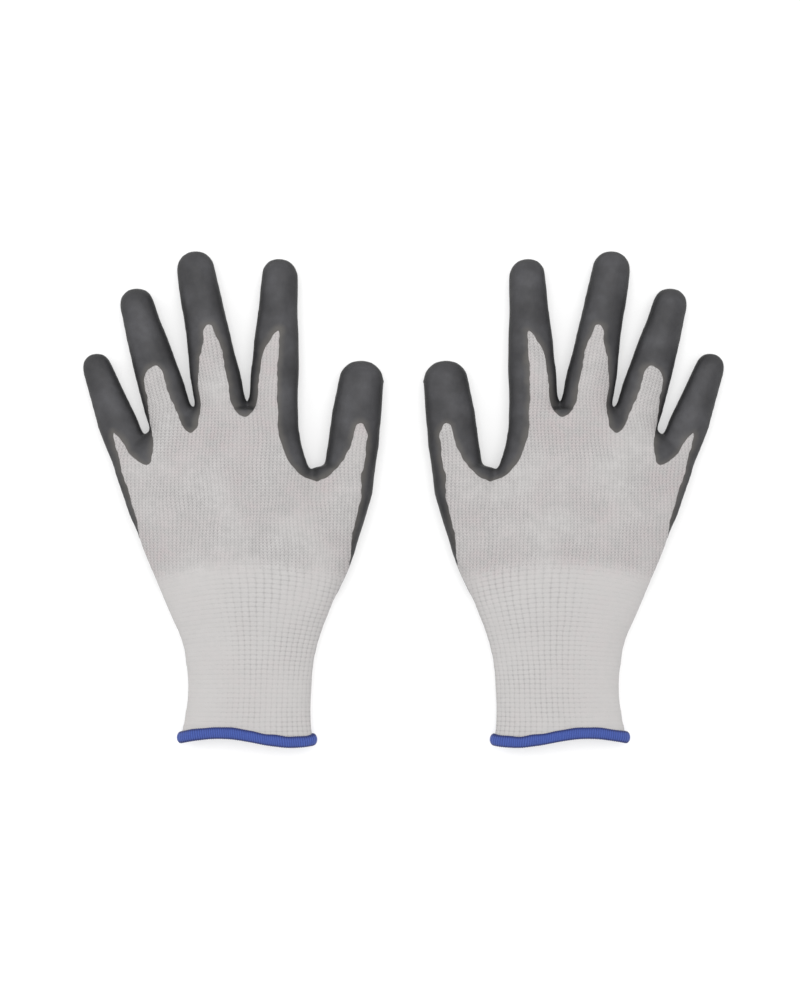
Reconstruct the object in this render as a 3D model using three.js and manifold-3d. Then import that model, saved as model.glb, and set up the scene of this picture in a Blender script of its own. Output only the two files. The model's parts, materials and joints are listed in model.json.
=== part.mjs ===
// A pair of knitted work gloves with dipped palms, lying palm down side by side.
//
// Millimetres. +X to the right, +Y towards the fingertips, +Z up, and z = 0 is the surface they lie on.
// Each glove is drawn once, in a frame whose x = 0 is the middle of its cuff, with the thumb at -x.
// The right glove is that drawing moved to +X, and the left glove is its mirror image.
//
// One glove is a seamless knitted liner (hand, five finger tubes and an elastic cuff), a rubber film that
// covers the palm side and wraps round the fingertips, an elastic yarn laid into the cuff, and a blue
// overlocked edging. Liner and film are divided where the glove folds: at each finger's base and at the wrist.
import * as THREE from "three";
import { mergeVertices } from "three/addons/utils/BufferGeometryUtils.js";
import Module from "manifold-3d";

const wasm = await Module();
wasm.setup();

// ---- Driving dimensions ---------------------------------------------------------------------------------

const GLOVE_X = 77; // from the middle of the pair to the middle of each cuff
const KNIT = 1.2; // wall of the knitted liner
const FILM = 0.9; // thickness of the dipped film
const GAP = 0.3; // between two pieces that touch on the real glove
const SKIN = FILM + GAP; // how far the film's outside stands off the liner
const FLOOR_CLEARANCE = 1.0; // under the fingers, which the palm and the cuff hold up

const FLEX_DEG = 80; // finger folds towards the palm
const EXTEND_DEG = 15; // finger lifts away from it
const WRIST_DEG = 45; // cuff folds either way
const FOLD_MARGIN_DEG = 2;
const FOLD_GAP = 0.4; // half of the gap between the two sides of a fold, at its axis
const CUFF_TOP_Y = -64; // the wrist fold

const HAND_SIDES = 22;
const FINGER_SIDES = 14;
const CUFF_SIDES = 22;

// Finger tubes, outside of the film. x, y: the fold at the finger's base. lean: degrees away from +Y towards
// +X. length: fold to tip. wide and high: half sizes at the base and just behind the tip. windowX, windowHalf
// and windowEnd: the bare strip that the film leaves on the back of the finger, along the finger from the fold.
const FINGERS = {
  thumb: { x: -51.7, y: 27, lean: -7.5, length: 43.4, wide: [13.2, 11.6], high: [9.0, 8.2],
    windowX: 1.5, windowHalf: 3.5, windowEnd: 12 },
  index: { x: -12.6, y: 62.5, lean: -2.6, length: 58.5, wide: [12.4, 9.6], high: [8.5, 7.5],
    windowX: 0, windowHalf: 4.0, windowEnd: 23 },
  middle: { x: 16.7, y: 60, lean: 10.6, length: 65.9, wide: [12.7, 9.7], high: [8.8, 7.8],
    windowX: -1.0, windowHalf: 4.6, windowEnd: 28 },
  ring: { x: 43.6, y: 53.6, lean: 16.4, length: 54.7, wide: [11.8, 8.8], high: [8.3, 7.3],
    windowX: -0.5, windowHalf: 4.2, windowEnd: 14 },
  little: { x: 66.4, y: 39, lean: 20.8, length: 36.9, wide: [10.1, 7.6], high: [7.5, 6.6],
    windowX: 0, windowHalf: 0, windowEnd: 0 },
};

// Outlines of the outside of the film, or of the space it would fill where the knit is bare, seen from above: y, the edge on the thumb's side, the edge on the little
// finger's side, and the height of the back above the floor.
const PALM = [
  [CUFF_TOP_Y, -38, 37.6, 20.2],
  [-50, -44, 44.2, 21.5],
  [-35, -48, 49.8, 22.5],
  [-15, -45, 57, 23.5],
  [5, -36, 65, 24],
  [20, -28.5, 70.5, 23.5],
  [30, -26, 72, 22.5],
  [38, -24.5, 54, 21],
  [46, -24, 40, 19.5],
];
const THUMB_BALL = [
  [-46, -44.5, -20, 17],
  [-30, -51.4, -20, 19],
  [-20, -54.5, -23, 20],
  [0, -61, -31, 20],
  [15, -63.4, -34.5, 19],
];
const CUFF = [
  [CUFF_TOP_Y, -38, 37.6, 20.2],
  [-72, -35.8, 34.2, 19.2],
  [-82, -33.9, 32.9, 18.2],
  [-97, -32.3, 31.8, 17.2],
  [-108, -32.2, 32.8, 16.7],
  [-119, -32.7, 35.2, 16.2],
];

const LINER_SPLIT_Z = 9; // the hand's liner is divided here into its back and its palm
const FILM_TOP_Z = 13; // the palm's film stops this high up the sides of the hand
const FILM_END_Y = -46; // and this far down the palm

// The cuff's edge runs in a shallow wave, and the edging follows it.
const HEM = { y: -119.2, wave: 1.7, waveLength: 76, crestX: 14, halfThick: 2.2, below: 3, above: 2.5, grooveFloor: 0.5 };
const ELASTIC = { radius: 0.45, turns: 4, fromY: -77, toY: -112, clearance: 0.9, sides: 5, stepsPerTurn: 16 };

const MATERIALS = {
  knit: new THREE.MeshStandardMaterial({ color: 0xc9c7c8, roughness: 0.95, metalness: 0 }),
  film: new THREE.MeshStandardMaterial({ color: 0x535355, roughness: 0.6, metalness: 0 }),
  edging: new THREE.MeshStandardMaterial({ color: 0x3f55a8, roughness: 0.85, metalness: 0 }),
  elastic: new THREE.MeshStandardMaterial({ color: 0xdedcd8, roughness: 0.8, metalness: 0 }),
};

// ---- Surfaces from rings of points ----------------------------------------------------------------------

const radians = THREE.MathUtils.degToRad;

// A closed surface through rings of equal length. Its ends are fans, or it joins up where `loop` is true.
function skin(rings, loop = false) {
  const sides = rings[0].length;
  const points = rings.flat();
  const triangles = [];
  const last = loop ? rings.length : rings.length - 1;
  for (let j = 0; j < last; j++) {
    const a = j * sides;
    const b = ((j + 1) % rings.length) * sides;
    for (let i = 0; i < sides; i++) {
      const n = (i + 1) % sides;
      triangles.push([a + i, a + n, b + n], [a + i, b + n, b + i]);
    }
  }
  if (!loop) {
    for (const [ring, turned] of [[0, true], [rings.length - 1, false]]) {
      const middle = new THREE.Vector3();
      rings[ring].forEach((p) => middle.addScaledVector(p, 1 / sides));
      const centre = points.push(middle) - 1;
      for (let i = 0; i < sides; i++) {
        const edge = [ring * sides + i, ring * sides + ((i + 1) % sides)];
        triangles.push(turned ? [centre, edge[1], edge[0]] : [centre, edge[0], edge[1]]);
      }
    }
  }
  const volume = triangles.reduce((sum, [a, b, c]) => {
    return sum + points[a].dot(new THREE.Vector3().crossVectors(points[b], points[c]));
  }, 0);
  if (volume < 0) triangles.forEach((t) => t.reverse());
  const geometry = new THREE.BufferGeometry().setFromPoints(points);
  geometry.setIndex(triangles.flat());
  return geometry;
}

// Straight-line interpolation in a table of rows whose first column is y.
function rowAt(table, y) {
  const rising = table[0][0] < table[table.length - 1][0];
  const rows = rising ? table : [...table].reverse();
  let k = 1;
  while (k < rows.length - 1 && rows[k][0] < y) k++;
  const [low, high] = [rows[k - 1], rows[k]];
  const t = (y - low[0]) / (high[0] - low[0]);
  return low.map((v, i) => v + (high[i] - v) * t);
}

// One point of a hand section: wide and softly rounded, with its underside pressed flat at `bottom`.
// `inset` shrinks it inside the outline of the film.
function handPoint(table, y, angle, inset) {
  const [, left, right, top] = rowAt(table, y);
  const bottom = inset;
  const half = (right - left) / 2 - inset;
  const high = (top - Math.max(0, inset - SKIN) - bottom) / 2;
  const flattened = 1.18; // the lower half bulges this much past the floor before it is cut flat
  const rounded = 0.8; // under 1 makes the section squarer than an ellipse
  const c = Math.cos(angle);
  const s = Math.sin(angle);
  const z = bottom + high + high * s * (s < 0 ? flattened : 1);
  return new THREE.Vector3((left + right) / 2 + half * Math.sign(c) * Math.abs(c) ** rounded, y, Math.max(z, bottom));
}

// How far a fold's end face stands off its axis at a height z above the axis.
function foldOffset(z, downDeg, upDeg) {
  const angle = radians((z < 0 ? downDeg : upDeg) / 2 + FOLD_MARGIN_DEG);
  return FOLD_GAP + Math.abs(z) * Math.tan(angle);
}

const angles = (sides) => Array.from({ length: sides }, (_, i) => (2 * Math.PI * (i + 0.5)) / sides);

// A hand section at y, or at the wrist fold, where each point backs away from the fold's axis.
function handRing(table, y, inset, sides, foldSide = 0) {
  return angles(sides).map((angle) => {
    const flat = handPoint(table, y, angle, inset);
    if (!foldSide) return flat;
    const offset = foldOffset(flat.z - wristAxisZ, WRIST_DEG, WRIST_DEG);
    return handPoint(table, CUFF_TOP_Y + foldSide * offset, angle, inset);
  });
}

const wristAxisZ = (SKIN + CUFF[0][3]) / 2;

// The hand or the ball of the thumb as one solid block, shrunk by `inset`. `start` is the ring it starts from.
function handBlock(table, inset, start) {
  const rows = table.slice(1).map(([y]) => y);
  rows.push(rows.pop() - inset);
  return skin([start, ...rows.map((y) => handRing(table, y, inset, HAND_SIDES))]);
}

// ---- Fingers, each in a frame with its fold along x at the origin and the finger along +y --------------------

function fingerPoint(f, along, angle, inset, y) {
  const wide = THREE.MathUtils.lerp(f.wide[0], f.wide[1], along) - inset;
  const high = THREE.MathUtils.lerp(f.high[0], f.high[1], along) - inset;
  return new THREE.Vector3(wide * Math.cos(angle), y, high * Math.sin(angle));
}

// Rings from the fold to the tip, for a wall `inset` inside the film's outside.
function fingerRings(f, inset) {
  const around = angles(FINGER_SIDES);
  const base = around.map((angle) => {
    const z = (f.high[0] - inset) * Math.sin(angle);
    return fingerPoint(f, 0, angle, inset, foldOffset(z, FLEX_DEG, EXTEND_DEG));
  });
  const tipRadius = f.wide[1];
  const shoulder = f.length - tipRadius;
  const middle = around.map((angle, i) => {
    const y = (base[i].y + shoulder) / 2;
    return fingerPoint(f, 0.5, angle, inset, y);
  });
  const dome = [0, 38, 66].map((degrees) => {
    const shrink = Math.cos(radians(degrees));
    const y = shoulder + (tipRadius - inset) * Math.sin(radians(degrees));
    return around.map((angle) => {
      const p = fingerPoint(f, 1, angle, inset, y);
      return p.set(p.x * shrink, y, p.z * shrink);
    });
  });
  return [base, middle, ...dome];
}

// A finger tube, closed at its tip and open at its fold. Its wall lies between two insets.
function fingerTube(f, outside, inside) {
  const outer = fingerRings(f, outside).reverse();
  const inner = fingerRings(f, inside);
  const tip = (rings, inset) => rings.map(() => new THREE.Vector3(0, f.length - inset, 0));
  return skin([tip(outer[0], outside), ...outer, ...inner, tip(inner[0], inside)], false);
}

// The short length of a finger between the hand and the fold. `reach` is its end inside the hand.
function fingerStub(f, inset, reach, through = 0) {
  const around = angles(FINGER_SIDES);
  const rooted = around.map((angle) => fingerPoint(f, 0, angle, inset, inset - reach));
  const end = around.map((angle) => {
    const z = (f.high[0] - inset) * Math.sin(angle);
    const y = through || -foldOffset(z, FLEX_DEG, EXTEND_DEG);
    return fingerPoint(f, 0, angle, inset, y);
  });
  return skin([rooted, end]).applyMatrix4(fingerMatrix(f));
}

const fingerHeight = (f) => f.high[0] + FLOOR_CLEARANCE;

function fingerMatrix(f) {
  return new THREE.Matrix4()
    .makeRotationZ(radians(-f.lean))
    .setPosition(f.x, f.y, fingerHeight(f));
}

// ---- Booleans ---------------------------------------------------------------------------------------------

function solid(geometry) {
  const bare = geometry.clone();
  bare.deleteAttribute("normal");
  bare.deleteAttribute("uv");
  const merged = mergeVertices(bare, 1e-3);
  const mesh = new wasm.Mesh({
    numProp: 3,
    vertProperties: merged.attributes.position.array,
    triVerts: new Uint32Array(merged.index.array),
  });
  return new wasm.Manifold(mesh);
}

function toGeometry(manifold) {
  const mesh = manifold.getMesh();
  const geometry = new THREE.BufferGeometry();
  geometry.setAttribute("position", new THREE.BufferAttribute(mesh.vertProperties, 3));
  geometry.setIndex(new THREE.BufferAttribute(mesh.triVerts, 1));
  return geometry;
}

const join = (solids) => solids.reduce((a, b) => a.add(b));

// A box between two corners.
function block(low, high) {
  const size = high.map((v, i) => v - low[i]);
  return new THREE.BoxGeometry(...size).translate(...low.map((v, i) => v + size[i] / 2));
}

// ---- Pieces -----------------------------------------------------------------------------------------------

// The hand, the ball of the thumb and the finger stubs as one block, shrunk by `inset`.
// A cavity reaches through the folds, so that the shell round it is open there.
function wholeHand(inset, cavity = false) {
  const stubReach = 22;
  const pastWrist = CUFF_TOP_Y - 8; // a cavity runs this far through the wrist fold
  const wrist = cavity
    ? handRing(PALM, pastWrist, inset, HAND_SIDES)
    : handRing(PALM, CUFF_TOP_Y, inset, HAND_SIDES, 1);
  const parts = [
    handBlock(PALM, inset, wrist),
    handBlock(THUMB_BALL, inset, handRing(THUMB_BALL, THUMB_BALL[0][0] + inset, inset, HAND_SIDES)),
    ...Object.values(FINGERS).map((f) => fingerStub(f, inset, stubReach, cavity ? 2 : 0)),
  ];
  return join(parts.map(solid));
}

// The hand's liner above or below the height where it is divided.
function handLiner(isBack) {
  const shell = wholeHand(SKIN).subtract(wholeHand(SKIN + KNIT, true));
  const [low, high] = isBack ? [LINER_SPLIT_Z + GAP / 2, 40] : [-5, LINER_SPLIT_Z - GAP / 2];
  return toGeometry(shell.intersect(solid(block([-90, -90, low], [95, 90, high]))));
}

function palmFilm() {
  const film = wholeHand(0).subtract(wholeHand(FILM, true));
  const kept = solid(block([-90, FILM_END_Y, -5], [95, 90, FILM_TOP_Z]));
  return toGeometry(film.intersect(kept));
}

// The film on one finger: all round its tip, and up its sides round the bare strip on its back.
function fingerFilm(f) {
  const tube = fingerTube(f, 0, FILM);
  if (!f.windowHalf) return tube;
  const strip = new THREE.Shape();
  const shoulder = f.windowEnd - f.windowHalf;
  strip.moveTo(f.windowX - f.windowHalf * 1.5, -12);
  strip.lineTo(f.windowX + f.windowHalf * 1.5, -12);
  strip.lineTo(f.windowX + f.windowHalf, shoulder);
  strip.absarc(f.windowX, shoulder, f.windowHalf, 0, Math.PI, false);
  strip.closePath();
  const cutter = new THREE.ExtrudeGeometry(strip, { depth: 30, bevelEnabled: false, curveSegments: 5 });
  return toGeometry(solid(tube).subtract(solid(cutter)));
}

const hemY = (x) => HEM.y + HEM.wave * Math.cos((2 * Math.PI * (x - HEM.crestX)) / HEM.waveLength);

function cuffLiner() {
  const wall = (inset) => {
    const top = handRing(CUFF, CUFF_TOP_Y, inset, CUFF_SIDES, -1);
    const middle = CUFF.slice(1, -1).map(([y]) => handRing(CUFF, y, inset, CUFF_SIDES));
    const end = handRing(CUFF, HEM.y, inset, CUFF_SIDES);
    return [top, ...middle, end.map((p) => p.setY(hemY(p.x)))];
  };
  return skin([...wall(SKIN), ...wall(SKIN + KNIT).reverse()], true);
}

// A channel that wraps the cuff's edge, run once round it.
function cuffHem() {
  const groove = KNIT / 2 + GAP;
  const t = HEM.halfThick;
  const bevel = 0.7;
  const section = [
    [groove, HEM.above], [t - bevel / 2, HEM.above], [t, HEM.above - bevel], [t, bevel - HEM.below],
    [t - bevel, -HEM.below], [bevel - t, -HEM.below], [-t, bevel - HEM.below], [-t, HEM.above - bevel],
    [bevel / 2 - t, HEM.above], [-groove, HEM.above], [-groove, -HEM.grooveFloor], [groove, -HEM.grooveFloor],
  ];
  const rings = section.map(([out, up]) => {
    const middle = handRing(CUFF, HEM.y + up, SKIN + KNIT / 2, CUFF_SIDES);
    return middle.map((p, i) => {
      const before = middle[(i + middle.length - 1) % middle.length];
      const after = middle[(i + 1) % middle.length];
      const outward = new THREE.Vector3(after.z - before.z, 0, before.x - after.x).normalize();
      const corner = new THREE.Vector3(p.x, hemY(p.x) + up, p.z).addScaledVector(outward, out);
      return corner.setZ(Math.max(corner.z, 0));
    });
  });
  return skin(rings, true);
}

// One covered rubber yarn, laid round and round the inside of the cuff.
function cuffElastic() {
  const steps = ELASTIC.turns * ELASTIC.stepsPerTurn;
  const inset = SKIN + KNIT + ELASTIC.clearance + ELASTIC.radius;
  const points = Array.from({ length: steps + 1 }, (_, i) => {
    const t = i / steps;
    const y = THREE.MathUtils.lerp(ELASTIC.fromY, ELASTIC.toY, t);
    return handPoint(CUFF, y, 2 * Math.PI * ELASTIC.turns * t + Math.PI / 2, inset);
  });
  const yarn = new THREE.Shape();
  yarn.absarc(0, 0, ELASTIC.radius, 0, 2 * Math.PI, false);
  const path = new THREE.CatmullRomCurve3(points);
  return new THREE.ExtrudeGeometry(yarn, { steps, extrudePath: path, curveSegments: ELASTIC.sides, bevelEnabled: false });
}

// ---- Assembly ---------------------------------------------------------------------------------------------

function piece(name, geometry, material) {
  const mesh = new THREE.Mesh(geometry, material);
  mesh.name = name;
  return mesh;
}

function glove(side) {
  const group = new THREE.Group();
  const mirror = side === "left" ? -1 : 1;
  group.position.x = mirror * GLOVE_X;
  group.scale.x = mirror;
  group.add(
    piece(`${side}_back_liner`, handLiner(true), MATERIALS.knit),
    piece(`${side}_palm_liner`, handLiner(false), MATERIALS.knit),
    piece(`${side}_palm_film`, palmFilm(), MATERIALS.film),
    piece(`${side}_cuff_liner`, cuffLiner(), MATERIALS.knit),
    piece(`${side}_cuff_elastic`, cuffElastic(), MATERIALS.elastic),
    piece(`${side}_cuff_edging`, cuffHem(), MATERIALS.edging),
  );
  for (const [name, f] of Object.entries(FINGERS)) {
    const finger = new THREE.Group();
    finger.position.set(f.x, f.y, fingerHeight(f));
    finger.rotation.z = radians(-f.lean);
    finger.add(
      piece(`${side}_${name}_liner`, fingerTube(f, SKIN, SKIN + KNIT), MATERIALS.knit),
      piece(`${side}_${name}_film`, fingerFilm(f), MATERIALS.film),
    );
    group.add(finger);
  }
  return group;
}

const pair = new THREE.Group();
pair.add(glove("right"), glove("left"));

export default pair;
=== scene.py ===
"""A pair of knitted work gloves with dipped palms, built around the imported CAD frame.

One glove is drawn as a closed surface, in millimetres, in a frame whose x = 0 is the middle of its cuff and
whose thumb is at -x. That surface is cut into a knitted liner and a film, and both into one piece for each
moving body. The right glove is the drawing moved to +X, and the left glove is its mirror image.
"""

import json
import math

import bmesh
import bpy
import numpy as np
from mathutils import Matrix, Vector


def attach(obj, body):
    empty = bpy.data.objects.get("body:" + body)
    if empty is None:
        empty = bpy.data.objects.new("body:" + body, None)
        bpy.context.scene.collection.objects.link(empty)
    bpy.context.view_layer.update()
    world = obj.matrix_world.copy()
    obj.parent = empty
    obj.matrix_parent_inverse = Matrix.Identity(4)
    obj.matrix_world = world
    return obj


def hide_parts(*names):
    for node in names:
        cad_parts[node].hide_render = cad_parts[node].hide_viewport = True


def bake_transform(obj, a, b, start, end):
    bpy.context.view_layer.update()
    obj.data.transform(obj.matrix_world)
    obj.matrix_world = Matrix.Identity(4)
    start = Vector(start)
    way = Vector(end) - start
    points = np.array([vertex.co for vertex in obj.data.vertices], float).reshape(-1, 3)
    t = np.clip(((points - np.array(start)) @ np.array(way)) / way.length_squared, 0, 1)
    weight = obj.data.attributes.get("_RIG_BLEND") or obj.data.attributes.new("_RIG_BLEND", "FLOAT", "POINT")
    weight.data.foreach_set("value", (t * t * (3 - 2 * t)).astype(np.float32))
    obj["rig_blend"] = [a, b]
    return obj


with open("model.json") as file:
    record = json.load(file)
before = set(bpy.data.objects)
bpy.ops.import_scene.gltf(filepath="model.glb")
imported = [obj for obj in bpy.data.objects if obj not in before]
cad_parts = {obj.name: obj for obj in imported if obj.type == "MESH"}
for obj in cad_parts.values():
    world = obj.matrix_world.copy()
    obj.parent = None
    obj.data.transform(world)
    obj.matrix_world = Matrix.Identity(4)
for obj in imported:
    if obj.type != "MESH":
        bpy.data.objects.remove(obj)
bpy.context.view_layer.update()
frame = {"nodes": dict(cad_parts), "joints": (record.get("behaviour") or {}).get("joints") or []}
MM = 0.001
rng = np.random.default_rng(7)

# ---- Where the CAD says things are ----------------------------------------------------------------------

joints = {joint["name"]: joint for joint in frame["joints"]}
GLOVE_X = joints["right_wrist_fold"]["pos_m"][0] / MM
WRIST_Y = joints["right_wrist_fold"]["pos_m"][1] / MM
FINGER_NAMES = ("thumb", "index", "middle", "ring", "little")

# ---- Shape of the glove, in millimetres -----------------------------------------------------------------

# Each row: y, the edge on the thumb's side, the edge on the little finger's side, height of the back.
HAND_ROWS = [
    (-129, -34.7, 37.7, 15.5), (-121, -32.6, 35.6, 15.5), (-115, -31, 34, 15.5), (-108, -30.7, 32.4, 15.5),
    (-97, -30.8, 30.9, 16), (-90, -31.2, 31.2, 16.5), (-80, -32.7, 32.2, 17.5), (-70, -34.8, 33.8, 18.5),
    (-60, -38.3, 38.8, 20), (-50, -42.6, 43.6, 21.5), (-35, -46.5, 49.6, 22.5), (-15, -44, 56.6, 23.5),
    (5, -36, 64.2, 23.8), (15, -29.5, 68, 23.5), (21, -27.2, 69, 23), (27, -25.5, 61, 22),
    (34, -24.5, 49, 21), (46, -24, 27, 19.5),
]
# The bulge at the thumb's root, in the same columns.
BALL_ROWS = [
    (-50, -42.4, -20, 17), (-40, -47.4, -20, 19), (-30, -51, -20, 20), (-20, -54, -22, 20.5),
    (-10, -57.4, -26, 20.5), (0, -60.3, -28, 20.5), (8, -61.8, -30, 20), (16, -62.2, -32, 19.5),
]
# Half sizes of each finger, across and up: at its fold, halfway and just behind the tip.
FINGER_HALVES = {
    "thumb": [(12.3, 8.6), (12.2, 8.4), (10.9, 8.0)],
    "index": [(11.8, 8.3), (10.1, 7.8), (8.7, 7.2)],
    "middle": [(12.2, 8.5), (10.4, 8.0), (9.2, 7.4)],
    "ring": [(11.3, 8.1), (9.8, 7.6), (8.1, 7.0)],
    "little": [(9.5, 7.3), (8.3, 6.8), (6.9, 6.3)],
}
FINGER_ROOT = -26  # how far back into the hand each finger's surface is drawn
FINGER_DROOP = 1.2  # how far a fingertip sinks below its fold
VOXEL = 1.45
LOWEST = 0.75  # the liner's underside stays this far above the floor, to leave room for the film
LINER_THICK = 1.05
FILM_THICK = 0.6
FILM_EDGE = 0.1  # thickness of the film right at its edge
FILM_RAMP = 2.2  # the film reaches its full thickness this far from its edge
FILM_SIDE_Z = 8.0  # the film climbs at least this far up the sides

# The bare knitted back, from the little finger's side over the fingertips' tongues to the thumb's side.
BARE_BACK = [
    # little finger's side of the hand and the little finger
    (70, -140), (70, -60), (58, -34), (53.6, -27), (56.6, -9), (58.8, 1), (63, 12), (65.6, 24), (69, 36),
    (64.4, 30.5), (59.4, 23), (54.6, 18.7), (50.2, 16.8),
    # ring finger
    (48.2, 20), (47.6, 28), (50, 41), (51.9, 55), (52.2, 62), (49.6, 65.8), (45.9, 67), (43.3, 64.5),
    (40.9, 56), (36.5, 43.5), (32.1, 35), (28.6, 33),
    # middle finger
    (25.9, 35.5), (24.2, 46), (25.2, 57), (24.8, 69), (22.9, 78), (23.2, 84.5), (21.4, 87.7), (18.4, 87.4),
    (17, 83), (14.6, 78), (12.8, 69), (10.3, 57), (8.8, 48.5), (5.3, 43), (1.2, 40.9),
    # index finger
    (-2.9, 45.5), (-4.8, 55), (-4.9, 66), (-7.3, 75), (-12.3, 83), (-15.1, 85.3), (-15.4, 81), (-14.1, 65),
    (-14.1, 50), (-14.8, 32.5), (-18.5, 21), (-24.8, 13), (-32.9, 8.7),
    # thumb and the thumb's side of the hand
    (-39.8, 11.2), (-46.6, 18.7), (-51, 28.7), (-53.5, 37), (-56.6, 38.7), (-59.6, 33), (-57.9, 23.7),
    (-55.8, 11), (-55.2, -1.5), (-52.3, -14), (-50.2, -28), (-49.5, -37), (-62, -44), (-70, -140),
]
FILM_END_Y = -46  # on the palm

BLEND_BACK, BLEND_ON = 8, 12  # a finger bends from this far before its fold to this far after it
WRIST_BLEND = 10  # the wrist bends over this much either side of its fold
HEM_Y, HEM_WAVE, HEM_WAVE_LENGTH, HEM_CREST_X = -119.0, 2.3, 74, 15
HEM_THICK, HEM_WIDE, HEM_THREAD = 1.95, 2.9, 0.16  # half sizes of the edging's roll, and its thread's relief
HEM_WRAP = 1.1  # from one thread of the edging to the next
ELASTIC_TURNS, ELASTIC_FROM_Y, ELASTIC_TO_Y, ELASTIC_RADIUS = 4, -77.0, -112.0, 0.45

WALE, COURSE = 1.9, 1.55  # the hand's knit: from one column of loops to the next, and from loop to loop
CUFF_WALE, CUFF_COURSE = 2.75, 2.4

# ---- Small helpers --------------------------------------------------------------------------------------


def smoothstep(low, high, value):
    t = np.clip((value - low) / (high - low), 0, 1)
    return t * t * (3 - 2 * t)


def waves(points, wavelength, count=10):
    """Seeded smooth noise in [-1, 1] or so, a sum of plane waves near one wavelength."""
    total = np.zeros(len(points))
    for _ in range(count):
        direction = rng.normal(size=3)
        direction /= np.linalg.norm(direction)
        stretch = rng.uniform(0.7, 1.5)
        phase = rng.uniform(0, 2 * math.pi)
        total += np.sin(points @ direction * (2 * math.pi / (wavelength * stretch)) + phase)
    return total / math.sqrt(count)


def finger_frame(name):
    """A finger's fold point, its direction and the direction across it, in glove millimetres."""
    joint = joints[f"right_{name}_flex"]
    origin = np.array(joint["pos_m"]) / MM - (GLOVE_X, 0, 0)
    across = -np.array(joint["axis"])
    along = np.array((-across[1], across[0], 0))
    return origin, along, across


def finger_length(name):
    """From the fold to the tip, measured on the CAD film."""
    origin, along, _ = finger_frame(name)
    film = frame["nodes"][f"right_{name}_film"].data
    points = np.array([v.co for v in film.vertices]) / MM - (GLOVE_X, 0, 0)
    return ((points - origin) @ along).max()


def new_object(name, mesh):
    obj = bpy.data.objects.new(name, mesh)
    bpy.context.scene.collection.objects.link(obj)
    return obj


def loft(rings):
    """Vertices and faces of a closed surface through rings with equal numbers of points."""
    sides = len(rings[0])
    vertices = np.concatenate(rings)
    faces = []
    for j in range(len(rings) - 1):
        for i in range(sides):
            n = (i + 1) % sides
            faces.append((j * sides + i, j * sides + n, (j + 1) * sides + n, (j + 1) * sides + i))
    faces.append(tuple(reversed(range(sides))))
    faces.append(tuple((len(rings) - 1) * sides + i for i in range(sides)))
    return vertices, faces


def smooth_rows(rows, step=2.0, reach=5):
    """The table resampled every few millimetres and rounded, so that no section shows as a ridge."""
    rows = np.array(rows, float)
    y = np.arange(rows[0, 0], rows[-1, 0] + step / 2, step)
    columns = []
    for k in (1, 2, 3):
        values = np.interp(y, rows[:, 0], rows[:, k])
        padded = np.pad(values, reach, mode="reflect", reflect_type="odd")
        weights = np.hanning(2 * reach + 3)[1:-1]
        columns.append(np.convolve(padded, weights / weights.sum(), mode="valid"))
    return np.column_stack([y, *columns])


# ---- One glove's surface --------------------------------------------------------------------------------


def hand_ring(y, left, right, top, sides=64):
    """One section of the hand or cuff: a squarish ellipse, pressed flat where it lies on the floor."""
    angle = np.arange(sides) * 2 * math.pi / sides
    c, s = np.cos(angle), np.sin(angle)
    half = (right - left) / 2
    squareness = 0.82
    x = (left + right) / 2 + half * np.sign(c) * np.abs(c) ** squareness
    middle = top / 2
    fuller_below = 1.12
    z = middle + middle * s * np.where(s < 0, fuller_below, 1.0)
    pressed_flat, give = 0.35, 0.15
    z = np.where(z < pressed_flat, pressed_flat + (z - pressed_flat) * give, z)
    return np.column_stack([x, np.full(sides, y), np.maximum(z, 0.1)])


def hand_section(y):
    """The rounded table's thumb edge, little finger's edge and height at one y."""
    rows = smooth_rows(HAND_ROWS)
    return [float(np.interp(y, rows[:, 0], rows[:, k])) for k in (1, 2, 3)]


def finger_rings(name, sides=40):
    """The sections of one finger, from inside the hand to its rounded tip."""
    origin, along, across = finger_frame(name)
    length = finger_length(name) - FILM_THICK
    halves = np.array(FINGER_HALVES[name])
    tip = halves[2, 0]
    shoulder = length - tip
    angle = np.arange(sides) * 2 * math.pi / sides
    rings = []
    stations = list(np.linspace(FINGER_ROOT, shoulder, 24))
    stations += [shoulder + tip * math.sin(math.radians(turn)) for turn in (12, 24, 36, 48, 59, 69, 78, 86)]
    for d in stations:
        wide, high = (np.interp(d, [0, shoulder / 2, shoulder], halves[:, k]) for k in (0, 1))
        past = max(0.0, (d - shoulder) / tip)
        shrink = (1 - past**2.2) ** 0.5  # a little blunter than a round end
        droop = -FINGER_DROOP * smoothstep(0, length, d)
        x = wide * shrink * np.cos(angle)
        z = high * shrink * np.sin(angle) + droop
        rings.append(origin + d * along + x[:, None] * across + z[:, None] * (0, 0, 1))
    return rings


def glove_solid():
    """The glove as one closed surface: lofts joined by a voxel remesh, then smoothed where they meet."""
    vertices, faces = [], []
    blocks = [loft([hand_ring(*row) for row in smooth_rows(table)]) for table in (HAND_ROWS, BALL_ROWS)]
    blocks += [loft(finger_rings(name)) for name in FINGER_NAMES]
    for points, quads in blocks:
        offset = sum(len(v) for v in vertices)
        vertices.append(points)
        faces += [tuple(i + offset for i in face) for face in quads]
    mesh = bpy.data.meshes.new("glove_solid")
    mesh.from_pydata([tuple(p) for p in np.concatenate(vertices)], [], faces)
    obj = new_object("glove_solid", mesh)
    remesh = obj.modifiers.new("remesh", "REMESH")
    remesh.mode = "VOXEL"
    remesh.voxel_size = VOXEL
    rounding = obj.modifiers.new("rounding", "SMOOTH")
    rounding.factor = 0.5
    rounding.iterations = 12
    finer = obj.modifiers.new("finer", "SUBSURF")
    finer.levels = 1
    finer.render_levels = 1
    result = bpy.data.meshes.new_from_object(obj.evaluated_get(bpy.context.evaluated_depsgraph_get()))
    bpy.data.objects.remove(obj)
    return result


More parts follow.
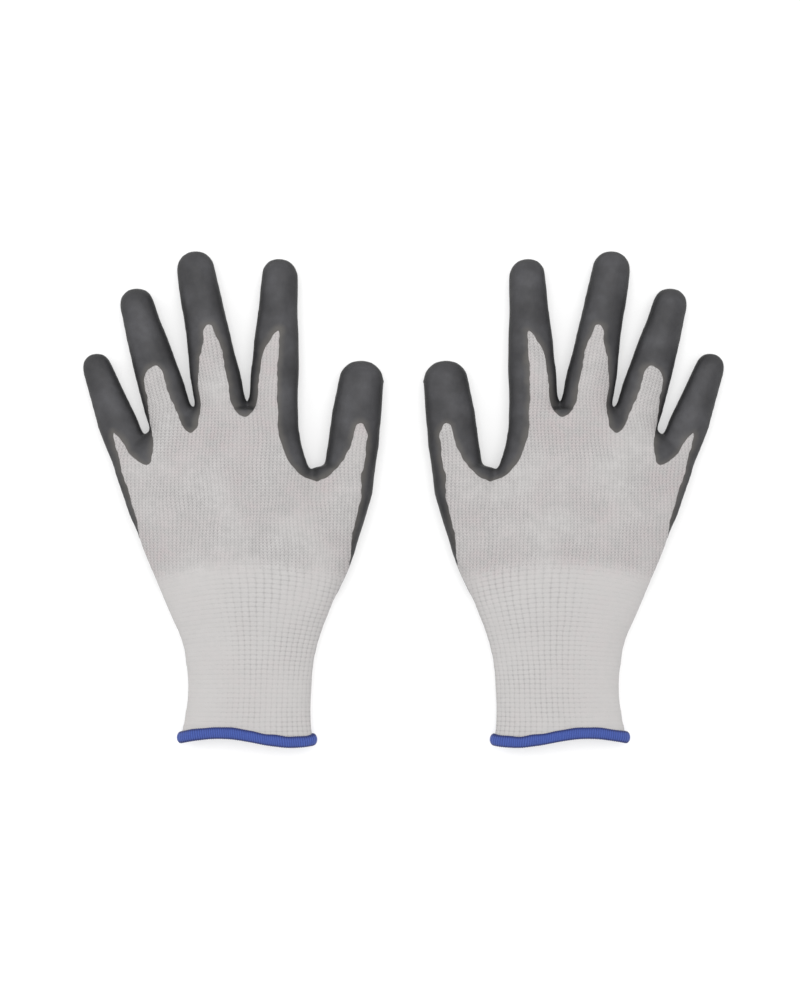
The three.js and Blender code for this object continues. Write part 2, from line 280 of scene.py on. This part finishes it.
def rounded(outline):
    """The outline with its corners cut twice over."""
    outline = np.array(outline, float)
    for _ in range(2):
        after = np.roll(outline, -1, axis=0)
        outline = np.stack([0.8 * outline + 0.2 * after, 0.2 * outline + 0.8 * after], axis=1)
        outline = outline.reshape(-1, 2)
    return outline


def distance_outside(points, outline):
    """Signed distance in the plane from a closed outline, positive outside it."""
    nearest = np.full(len(points), np.inf)
    inside = np.zeros(len(points), bool)
    for a, b in zip(outline, np.roll(outline, -1, axis=0)):
        edge = b - a
        t = np.clip((points - a) @ edge / (edge @ edge), 0, 1)
        nearest = np.minimum(nearest, np.linalg.norm(points - a - t[:, None] * edge, axis=1))
        crosses = (a[1] > points[:, 1]) != (b[1] > points[:, 1])
        x_at = a[0] + (points[:, 1] - a[1]) * edge[0] / (edge[1] if edge[1] else 1e-9)
        inside ^= crosses & (points[:, 0] < x_at)
    return np.where(inside, -nearest, nearest)


def film_field(points):
    """How far a point is inside the film's edge, in millimetres, negative on the bare knit."""
    x, y, z = points.T
    back = distance_outside(points[:, :2], rounded(BARE_BACK))
    back += 0.16 * waves(points, 4) + 0.3 * waves(points, 13)
    palm_end = y - FILM_END_Y + 1.5 * np.sin(x / 9)
    return np.minimum(palm_end, np.maximum(back, FILM_SIDE_Z - z))


def hem_line(x):
    """The y at which the cuff ends."""
    return HEM_Y + HEM_WAVE * np.cos(2 * math.pi * (x - HEM_CREST_X) / HEM_WAVE_LENGTH)


def split_at_zero(bm, value_of):
    """Cuts a bmesh along the line where a value on its vertices is zero. Returns the value layer."""
    layer = bm.verts.layers.float.new("value")
    values = value_of(np.array([v.co for v in bm.verts]))
    for v, value in zip(bm.verts, values):
        v[layer] = value if abs(value) > 1e-4 else 1e-4  # no vertex lies just on the line
    cut = []
    for edge in [e for e in bm.edges if (e.verts[0][layer] > 0) != (e.verts[1][layer] > 0)]:
        a, b = edge.verts
        share = a[layer] / (a[layer] - b[layer])
        _, vertex = bmesh.utils.edge_split(edge, a, min(max(share, 0.02), 0.98))
        vertex[layer] = 0.0
        cut.append(vertex)
    bmesh.ops.connect_verts(bm, verts=cut)
    return layer


def make_surface():
    """The glove with its cuff open: vertices, normals, faces, film values, and which faces are film."""
    mesh = glove_solid()
    bm = bmesh.new()
    bm.from_mesh(mesh)
    bpy.data.meshes.remove(mesh)
    layer = split_at_zero(bm, lambda p: p[:, 1] - hem_line(p[:, 0]))
    beyond = [f for f in bm.faces if sum(v[layer] for v in f.verts) < 0]
    bmesh.ops.delete(bm, geom=beyond, context="FACES")
    bm.verts.layers.float.remove(layer)
    points = np.array([v.co for v in bm.verts])
    bm.normal_update()
    normals = np.array([v.normal for v in bm.verts])
    ripple = 0.1 * waves(points, 16) + 0.22 * waves(points, 38)
    lifted = points + normals * ripple[:, None]
    lifted[:, 2] = np.maximum(lifted[:, 2], LOWEST)
    for v, place in zip(bm.verts, lifted):
        v.co = place
    layer = split_at_zero(bm, film_field)
    bm.normal_update()
    bm.verts.index_update()
    points = np.array([v.co for v in bm.verts])
    normals = np.array([v.normal for v in bm.verts])
    field = np.array([v[layer] for v in bm.verts])
    faces = [[v.index for v in f.verts] for f in bm.faces]
    is_film = np.array([sum(v[layer] for v in f.verts) > 0 for f in bm.faces])
    bm.free()
    return points, normals, faces, field, is_film


def face_bodies(centres):
    """The body that each face belongs to."""
    body = np.full(len(centres), "hand", dtype=object)
    body[centres[:, 1] < WRIST_Y + WRIST_BLEND + 1] = "cuff"
    best = np.full(len(centres), np.inf)
    for name in FINGER_NAMES:
        origin, along, across = finger_frame(name)
        distance = (centres - origin) @ along
        aside = np.abs((centres - origin) @ across) / (FINGER_HALVES[name][0][0] + 4)
        mine = (distance > -BLEND_BACK - 1) & (aside < 1) & (aside < best)
        body[mine] = name
        best[mine] = aside[mine]
    return body


def knit_coordinates(points):
    """Two sets of coordinates for each vertex, one for the hand's plain knit and one for the cuff's.

    The hand's are (across the wales, along them, 1 on the cuff), and its wales follow each finger.
    The cuff's are (across, along, how far the ribs show).
    """
    x, y, _ = points.T
    rows = smooth_rows(HAND_ROWS)
    left, right = (np.interp(y, rows[:, 0], rows[:, k]) for k in (1, 2))
    cuff_half = 31.0
    on_cuff = np.clip((x - (right + left) / 2) / ((right - left) / 2), -0.999, 0.999)
    cuff_across = cuff_half * (0.7 * on_cuff + 0.3 * np.arcsin(on_cuff))
    arch = 5.0 * (x / 40) ** 2
    zone = smoothstep(-26, -40, y + arch)
    hand_across, hand_along = x.copy(), y.copy()
    for name in FINGER_NAMES:
        origin, along, across = finger_frame(name)
        distance, aside = (points - origin) @ along, (points - origin) @ across
        near = smoothstep(-20, 2, distance) * (np.abs(aside) < FINGER_HALVES[name][0][0] + 4)
        hand_across = hand_across + near * (aside + origin[0] - hand_across)
        hand_along = hand_along + near * (distance + origin[1] - hand_along)
    cuff_along = y + arch * smoothstep(-110, -50, y)
    ribs_show = smoothstep(30, -6, x)
    return (
        np.column_stack([hand_across, hand_along, zone]),
        np.column_stack([cuff_across, cuff_along, ribs_show]),
    )


# ---- Materials ------------------------------------------------------------------------------------------


class Field:
    """A number in a node tree, so that patterns can be written as sums."""

    def __init__(self, tree, socket):
        self.tree, self.socket = tree, socket

    def op(self, kind, other=None):
        node = self.tree.nodes.new("ShaderNodeMath")
        node.operation = kind
        for slot, value in enumerate((self, other)):
            if isinstance(value, Field):
                self.tree.links.new(value.socket, node.inputs[slot])
            elif value is not None:
                node.inputs[slot].default_value = value
        return Field(self.tree, node.outputs[0])

    def __add__(self, other):
        return self.op("ADD", other)

    def __sub__(self, other):
        return self.op("SUBTRACT", other)

    def __mul__(self, other):
        return self.op("MULTIPLY", other)

    def sin(self):
        return self.op("SINE")

    def cos(self):
        return self.op("COSINE")

    def abs(self):
        return self.op("ABSOLUTE")

    def fraction(self):
        return self.op("FRACT")

    def between(self, low, high):
        """0 at low and 1 at high, smooth."""
        node = self.tree.nodes.new("ShaderNodeMapRange")
        node.interpolation_type = "SMOOTHSTEP"
        self.tree.links.new(self.socket, node.inputs["Value"])
        node.inputs["From Min"].default_value = low
        node.inputs["From Max"].default_value = high
        return Field(self.tree, node.outputs["Result"])


STRONG_LIGHT = 1.12  # the light is this much stronger than the colours are given for, for a white floor


def srgb(*levels):
    """A colour from 0 to 255 levels, in the linear numbers that shaders take."""
    shares = [level / 255 for level in levels]
    linear = [share / 12.92 if share <= 0.04 else ((share + 0.055) / 1.055) ** 2.4 for share in shares]
    return (*[value / STRONG_LIGHT for value in linear], 1.0)


class Material:
    """A Principled material, with short names for the nodes that the patterns below need."""

    def __init__(self, name, roughness, specular):
        self.material = bpy.data.materials.new(name)
        self.material.use_nodes = True
        self.tree = self.material.node_tree
        self.shader = self.tree.nodes["Principled BSDF"]
        self.shader.inputs["Roughness"].default_value = roughness
        self.shader.inputs["Specular IOR Level"].default_value = specular

    def attribute(self, name):
        node = self.tree.nodes.new("ShaderNodeAttribute")
        node.attribute_name = name
        split = self.tree.nodes.new("ShaderNodeSeparateXYZ")
        self.tree.links.new(node.outputs["Vector"], split.inputs[0])
        return [Field(self.tree, split.outputs[k]) for k in range(3)]

    def noise(self, size_mm, detail=3.0):
        """Noise from 0 to 1 with features about this size, fixed to the object."""
        place = self.tree.nodes.new("ShaderNodeAttribute")
        place.attribute_name = "rest_place"
        node = self.tree.nodes.new("ShaderNodeTexNoise")
        node.inputs["Scale"].default_value = 1 / size_mm
        node.inputs["Detail"].default_value = detail
        self.tree.links.new(place.outputs["Vector"], node.inputs["Vector"])
        return Field(self.tree, node.outputs["Fac"])

    def mix(self, share, first, second):
        node = self.tree.nodes.new("ShaderNodeMix")
        node.data_type = "RGBA"
        self.tree.links.new(share.socket, node.inputs["Factor"])
        for slot, colour in ((6, first), (7, second)):
            if isinstance(colour, tuple):
                node.inputs[slot].default_value = colour
            else:
                self.tree.links.new(colour, node.inputs[slot])
        return node.outputs[2]

    def colour(self, socket):
        self.tree.links.new(socket, self.shader.inputs["Base Color"])

    def roughness(self, field):
        self.tree.links.new(field.socket, self.shader.inputs["Roughness"])

    def bump(self, height, depth_mm):
        node = self.tree.nodes.new("ShaderNodeBump")
        node.inputs["Distance"].default_value = depth_mm * MM
        self.tree.links.new(height.socket, node.inputs["Height"])
        self.tree.links.new(node.outputs["Normal"], self.shader.inputs["Normal"])


def stitches(m):
    """Height of plain knit, 0 in the holes and 1 on the loops. Each wale is a column of V-shaped loops."""
    across, along, _ = m.attribute("knit")
    wander = m.noise(24, 1) * 2.2
    column = (across * (1 / WALE) + wander).fraction() - 0.5
    ridge = (column * math.pi).cos().abs() * 0.6 + 0.4
    slant = column.abs() * 1.3
    loop = ((along * (1 / COURSE) + slant) * (2 * math.pi)).sin() * 0.5 + 0.5
    return ridge * (loop * 0.55 + 0.45)


def cuff_grid(m):
    """Height of the cuff's knit: small square cells between the ribs and the elastic courses."""
    across, along, ribs_show = m.attribute("cuff_knit")
    uneven = m.noise(7, 2) * 1.1
    rib = (across * (math.pi / CUFF_WALE) + uneven).sin().abs().between(-0.15, 0.9)
    course = (along * (math.pi / CUFF_COURSE) + uneven).sin().abs().between(-0.15, 0.9)
    rib = (rib - 1.0) * ribs_show * 0.5 + 1.0
    course = (course - 1.0) * (ribs_show * 0.2 + 0.28) + 1.0
    return rib * course * 0.85


def knit_material():
    warm, pinkish, cool = srgb(191, 189, 188), srgb(187, 179, 179), srgb(182, 180, 179)
    # holes is a painted shade colour for the gaps between the loops.
    cuff, holes = srgb(188, 186, 185), srgb(130, 127, 128)
    m = Material("pale_knit", 0.93, 0.2)
    loops, grid = stitches(m), cuff_grid(m)
    zone = m.attribute("knit")[2]
    clarity = m.noise(21, 2).between(0.25, 0.65)  # the stitches show more in some places than in others
    loops = loops * (clarity * 0.5 + 0.5) + (clarity - 1.0) * -0.28
    grid = grid * (clarity * 0.4 + 0.6) + (clarity - 1.0) * -0.3
    height = loops + (grid - loops) * zone
    fuzz = m.noise(0.4, 2)
    yarn = m.mix(m.noise(26, 2).between(0.3, 0.8), warm, pinkish)
    yarn = m.mix(m.noise(4, 3).between(0.3, 0.75), yarn, cool)
    yarn = m.mix(zone * 0.7, yarn, cuff)
    # Painted shade: the knit turns to the holes colour where its height is low, between the loops and in the
    # cuff's cells.
    m.colour(m.mix((height + fuzz * 0.35).between(0.05, 0.9), holes, yarn))
    m.shader.inputs["Sheen Weight"].default_value = 0.12
    m.bump(height + fuzz * 0.45, 0.4)
    return m.material


def film_material():
    """Charcoal rubber, clouded, with painted shade that darkens it down the sides, and thin enough at its
    edge to show the soaked knit.
    """
    dark, light, mottled = srgb(50, 50, 52), srgb(72, 72, 75), srgb(60, 59, 61)
    # side is a painted shade colour, nearly black, laid on the film where its surface faces sideways.
    side, soaked_knit = srgb(19, 19, 20), srgb(92, 89, 85)
    m = Material("grey_film", 0.55, 0.3)
    inward, painted_side_shade, _ = m.attribute("edge")
    grey = m.mix(m.noise(17, 3).between(0.32, 0.7), dark, light)
    grey = m.mix(m.noise(3.2, 3).between(0.3, 0.75) * 0.5, grey, mottled)
    # Painted shade: the film darkens towards side where its surface faces sideways.
    grey = m.mix(painted_side_shade * 0.85, grey, side)
    soaked = (inward + m.noise(10, 2) * 4.0).between(5.5, 1.2)
    # The soaked knit shows less where the painted side shade is strong.
    m.colour(m.mix(soaked * (painted_side_shade * -0.7 + 0.75), grey, soaked_knit))
    m.roughness(m.noise(6, 2) * 0.22 + 0.42)
    m.bump(stitches(m) * 0.06 + m.noise(2.2, 3) * 0.4 + m.noise(0.5, 2) * 0.2, 0.35)
    return m.material


def thread_material(name, light, dark):
    """Thread coloured from its "thread" attribute, which is 1 on the crown of each strand and 0 between
    strands. light is the lit colour and dark a painted shade colour, so low values lay painted shade.
    """
    m = Material(name, 0.85, 0.25)
    strand = m.attribute("thread")[0].between(0.15, 0.85)
    fuzz = m.noise(0.5, 2)
    # Painted shade: the colour runs from dark between the strands up to light on their crowns.
    shaded_thread_tone = m.mix(strand, dark, light)
    m.colour(m.mix(fuzz.between(0.4, 0.8) * 0.35, shaded_thread_tone, dark))
    m.shader.inputs["Sheen Weight"].default_value = 0.15
    m.bump(fuzz, 0.25)
    return m.material


# ---- Pieces ---------------------------------------------------------------------------------------------

surface_points, surface_normals, surface_faces, surface_field, surface_is_film = make_surface()
surface_centres = np.array([surface_points[f].mean(axis=0) for f in surface_faces])
surface_bodies = face_bodies(surface_centres)
surface_knit, surface_cuff_knit = knit_coordinates(surface_points)

KNIT = knit_material()
FILM = film_material()
# light is each thread's lit colour and dark is its painted shade colour.
BLUE = thread_material("blue_overlock", light=srgb(75, 98, 176), dark=srgb(31, 43, 100))
COVERED = thread_material("covered_elastic", light=srgb(224, 222, 218), dark=srgb(190, 187, 183))


def to_side(points, side):
    """Glove millimetres to the scene's metres, on one side of the pair."""
    sign = 1 if side == "right" else -1
    return (points + (GLOVE_X, 0, 0)) * (sign * MM, MM, MM)


def mesh_piece(name, side, points, faces, material, normals=None, attributes=None):
    """A mesh object on one side of the pair, mirrored for the left glove."""
    if side == "left":
        faces = [face[::-1] for face in faces]
    mesh = bpy.data.meshes.new(name)
    mesh.from_pydata([tuple(point) for point in to_side(points, side)], [], faces)
    mesh.materials.append(material)
    mesh.shade_smooth()
    apart = 400.0 if side == "left" else 0.0  # so that the noise doesn't make the two gloves alike
    every_attribute = dict(attributes or {})
    every_attribute["rest_place"] = points + (0, apart, 0)
    for key, values in every_attribute.items():
        layer = mesh.attributes.new(key, "FLOAT_VECTOR", "POINT")
        layer.data.foreach_set("vector", np.asarray(values, np.float32).ravel())
    if normals is not None:
        mirrored = normals * ((1 if side == "right" else -1), 1, 1)
        mesh.normals_split_custom_set_from_vertices([tuple(normal) for normal in mirrored])
    return new_object(name, mesh)


def part_of_surface(chosen):
    """The vertices that some faces use, and those faces with their new numbers."""
    faces = [surface_faces[i] for i in np.flatnonzero(chosen)]
    used = np.unique(np.concatenate([np.array(f) for f in faces]))
    number = np.full(len(surface_points), -1)
    number[used] = np.arange(len(used))
    return used, [tuple(int(number[i]) for i in f) for f in faces]


def open_edges(faces):
    """The edges that only one face uses, in that face's direction."""
    seen = {}
    for face in faces:
        for a, b in zip(face, face[1:] + face[:1]):
            seen[(a, b)] = True
    return [edge for edge in seen if edge[::-1] not in seen]


def liner_piece(name, side, body):
    """The knit on one body, with its inside surface, closed round the mouth of the cuff."""
    used, faces = part_of_surface(surface_bodies == body)
    outside, normals = surface_points[used], surface_normals[used]
    inside = outside - normals * LINER_THICK
    count = len(used)
    mouth = outside[:, 1] < hem_line(outside[:, 0]) + 0.5
    rim = [(b, a, a + count, b + count) for a, b in open_edges(faces) if mouth[a] and mouth[b]]
    both = faces + [tuple(i + count for i in reversed(face)) for face in faces] + rim
    knit = {"knit": surface_knit[used], "cuff_knit": surface_cuff_knit[used]}
    return mesh_piece(
        name, side, np.concatenate([outside, inside]), both, KNIT,
        normals=np.concatenate([normals, -normals]),
        attributes={key: np.concatenate([values, values]) for key, values in knit.items()},
    )


def film_piece(name, side, body):
    """The film on one body. It is thin at its edge and thickens away from it."""
    used, faces = part_of_surface((surface_bodies == body) & surface_is_film)
    inward = surface_field[used]
    thickness = FILM_EDGE + (FILM_THICK - FILM_EDGE) * smoothstep(0, FILM_RAMP, inward)
    points = surface_points[used] + surface_normals[used] * thickness[:, None]
    # Painted shade for the film's sides: 0 where its surface faces up, 1 where it faces sideways.
    painted_side_shade = smoothstep(0.9, 0.3, surface_normals[used, 2])
    # The edge attribute carries how far inside the film's edge a point is, and the painted side shade.
    edge = np.column_stack([inward, painted_side_shade, np.zeros(len(used))])
    return mesh_piece(
        name, side, points, faces, FILM, normals=surface_normals[used],
        attributes={"edge": edge, "knit": surface_knit[used]},
    )


def tube_faces(along, around, closed):
    """Faces of a tube whose points come as lines along it, one line after another round its section."""
    faces = []
    for j in range(around):
        up = (j + 1) % around
        for i in range(along if closed else along - 1):
            n = (i + 1) % along
            faces.append((j * along + i, up * along + i, up * along + n, j * along + n))
    if not closed:
        faces.append(tuple(j * along for j in reversed(range(around))))
        faces.append(tuple(j * along + along - 1 for j in range(around)))
    return faces


def hem_piece(name, side):
    """The overlocked edging: a fat roll of thread wraps round the cuff's mouth."""
    around, section = 960, 20
    ring = hand_ring(HEM_Y, *hand_section(HEM_Y), sides=around)
    step = np.roll(ring, -1, axis=0) - np.roll(ring, 1, axis=0)
    outward = np.column_stack([step[:, 2], np.zeros(around), -step[:, 0]])
    outward /= np.linalg.norm(outward, axis=1)[:, None]
    length = np.concatenate([[0], np.cumsum(np.linalg.norm(np.diff(ring, axis=0), axis=1))])
    wraps = round(length[-1] / HEM_WRAP)
    phase = length / length[-1] * wraps * 2 * math.pi
    wander = waves(ring, 12)
    swell = 1 + 0.03 * wander
    lines, strands = [], []
    for angle in np.arange(section) * 2 * math.pi / section:
        strand = 0.5 + 0.5 * np.sin(phase + 2 * angle + 1.2 * wander)
        thick = (HEM_THICK + HEM_THREAD * strand) * swell
        wide = (HEM_WIDE + HEM_THREAD * strand) * swell
        line = ring + outward * (thick * math.cos(angle) - 0.5)[:, None]
        line[:, 1] = hem_line(ring[:, 0]) + 0.4 + 0.12 * wander + wide * math.sin(angle)
        lines.append(line)
        # Painted shade: the edging's thread darkens between strands and towards the roll's two rims.
        painted_rim_shade = smoothstep(0.5, 1.0, abs(math.sin(angle)))
        strands.append((0.45 + 0.25 * strand) * (1 - 0.8 * painted_rim_shade))
    points, strands = np.concatenate(lines), np.concatenate(strands)
    points[:, 2] = np.maximum(points[:, 2], 0.15)
    thread = np.column_stack([strands, strands, strands])
    faces = tube_faces(around, section, closed=True)
    return mesh_piece(name, side, points, faces, BLUE, attributes={"thread": thread})


def elastic_piece(name, side):
    """The covered elastic yarn, which winds round the inside of the cuff and lies half sunk in its knit."""
    steps, section = 400, 8
    near_it = surface_points[:, 1] < ELASTIC_FROM_Y + 4
    inner_face = surface_points[near_it] - surface_normals[near_it] * LINER_THICK
    path = []
    for share in np.linspace(0, 1, steps):
        y = ELASTIC_FROM_Y + share * (ELASTIC_TO_Y - ELASTIC_FROM_Y)
        left, right, top = hand_section(y)
        turn = 2 * math.pi * ELASTIC_TURNS * share + math.pi / 2
        aim_x = (left + right) / 2 + (right - left) / 2 * math.cos(turn)
        aim_z = top / 2 * (1 + math.sin(turn))
        aim = (aim_x, y, aim_z)
        nearest = np.argsort(np.linalg.norm(inner_face - aim, axis=1))[:8]
        path.append(inner_face[nearest].mean(axis=0))
    path = np.array(path)
    for _ in range(6):
        path[1:-1] = (path[:-2] + 2 * path[1:-1] + path[2:]) / 4
    forward = np.gradient(path, axis=0)
    forward /= np.linalg.norm(forward, axis=1)[:, None]
    outward = np.cross((0, 1, 0), forward)
    outward /= np.linalg.norm(outward, axis=1)[:, None]
    upward = np.cross(forward, outward)
    points = np.concatenate([
        path + ELASTIC_RADIUS * (math.cos(angle) * outward + math.sin(angle) * upward)
        for angle in np.arange(section) * 2 * math.pi / section
    ])
    thread = np.full((len(points), 3), 0.6)
    faces = tube_faces(steps, section, closed=False)
    return mesh_piece(name, side, points, faces, COVERED, attributes={"thread": thread})


def finger_ends(name, side):
    """Where the bend at a finger's fold starts and ends, in the scene's metres."""
    origin, along, _ = finger_frame(name)
    ends = np.array([origin - BLEND_BACK * along, origin + BLEND_ON * along])
    return [tuple(point) for point in to_side(ends, side)]


def wrist_ends(side):
    """Where the bend at the wrist's fold starts and ends, in the scene's metres."""
    middle_z = 10
    ends = np.array([(0, WRIST_Y + WRIST_BLEND, middle_z), (0, WRIST_Y - WRIST_BLEND, middle_z)])
    return [tuple(point) for point in to_side(ends, side)]


def build_glove(side):
    for body in ("hand", "cuff", *FINGER_NAMES):
        liners = ("back_liner", "palm_liner") if body == "hand" else (f"{body}_liner",)
        made = [(liner_piece(f"{side}_{body}_knit", side, body), liners, "knit")]
        if body != "cuff":
            films = ("palm_film",) if body == "hand" else (f"{body}_film",)
            made.append((film_piece(f"{side}_{body}_coating", side, body), films, "film"))
        for piece, nodes, slot in made:
            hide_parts(*[f"{side}_{node}" for node in nodes])
            if body == "hand":
                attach(piece, f"{side}_hand")
            elif body == "cuff":
                start, end = wrist_ends(side)
                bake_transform(piece, f"{side}_hand", f"{side}_cuff", start=start, end=end)
            else:
                start, end = finger_ends(body, side)
                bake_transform(piece, f"{side}_hand", f"{side}_{body}", start=start, end=end)
    hem = hem_piece(f"{side}_overlock", side)
    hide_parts(f"{side}_cuff_edging")
    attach(hem, f"{side}_cuff")
    elastic = elastic_piece(f"{side}_elastic_yarn", side)
    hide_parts(f"{side}_cuff_elastic")
    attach(elastic, f"{side}_cuff")


build_glove("right")
build_glove("left")

# ---- Camera, light and floor ----------------------------------------------------------------------------

CAMERA_X, CAMERA_Y = -0.00175, 0.0
CAMERA_HEIGHT = 1.6  # above the gloves' middle height
GLOVE_MIDDLE_Z = 0.012
SENSOR = 36.0
FRAME_HEIGHT = 0.5  # metres from the picture's top to its bottom, at the gloves' middle height
FLOOR_Z, FLOOR_HALF = -0.0003, 12.0

camera_data = bpy.data.cameras.new("camera")
camera_data.sensor_width = SENSOR
camera_data.lens = SENSOR * CAMERA_HEIGHT / FRAME_HEIGHT
camera_data.clip_end = 20
camera = new_object("camera", camera_data)
camera.location = (CAMERA_X, CAMERA_Y, CAMERA_HEIGHT + GLOVE_MIDDLE_Z)
bpy.context.scene.camera = camera


def area_light(name, place, size, watts):
    """A square light that faces the middle of the pair."""
    data = bpy.data.lights.new(name, "AREA")
    data.shape = "SQUARE"
    data.size = size
    data.energy = watts
    light = new_object(name, data)
    light.location = place
    light.rotation_mode = "QUATERNION"
    light.rotation_quaternion = Vector(place).to_track_quat("Z", "Y")


area_light("overhead", (0.1, 0.35, 1.9), 1.6, 20)
area_light("side", (-1.3, 0.5, 1.1), 0.9, 4)

world = bpy.data.worlds.new("studio")
bpy.context.scene.world = world
world.use_nodes = True
world.node_tree.nodes["Background"].inputs["Color"].default_value = (1, 1, 1, 1)
world.node_tree.nodes["Background"].inputs["Strength"].default_value = 0.92
bpy.context.scene.view_settings.view_transform = "Standard"

floor_mesh = bpy.data.meshes.new("floor")
corner_signs = [(-1, -1), (1, -1), (1, 1), (-1, 1)]
floor_corners = [(FLOOR_HALF * x, FLOOR_HALF * y, FLOOR_Z) for x, y in corner_signs]
floor_mesh.from_pydata(floor_corners, [], [(0, 1, 2, 3)])
floor = new_object("floor", floor_mesh)
paper = Material("floor_paper", 0.9, 0.1)
paper.shader.inputs["Base Color"].default_value = (0.6, 0.6, 0.6, 1)
paper.shader.inputs["Emission Color"].default_value = (1, 1, 1, 1)
paper.shader.inputs["Emission Strength"].default_value = 0.4  # so that the shadows on it stay faint
floor_mesh.materials.append(paper.material)
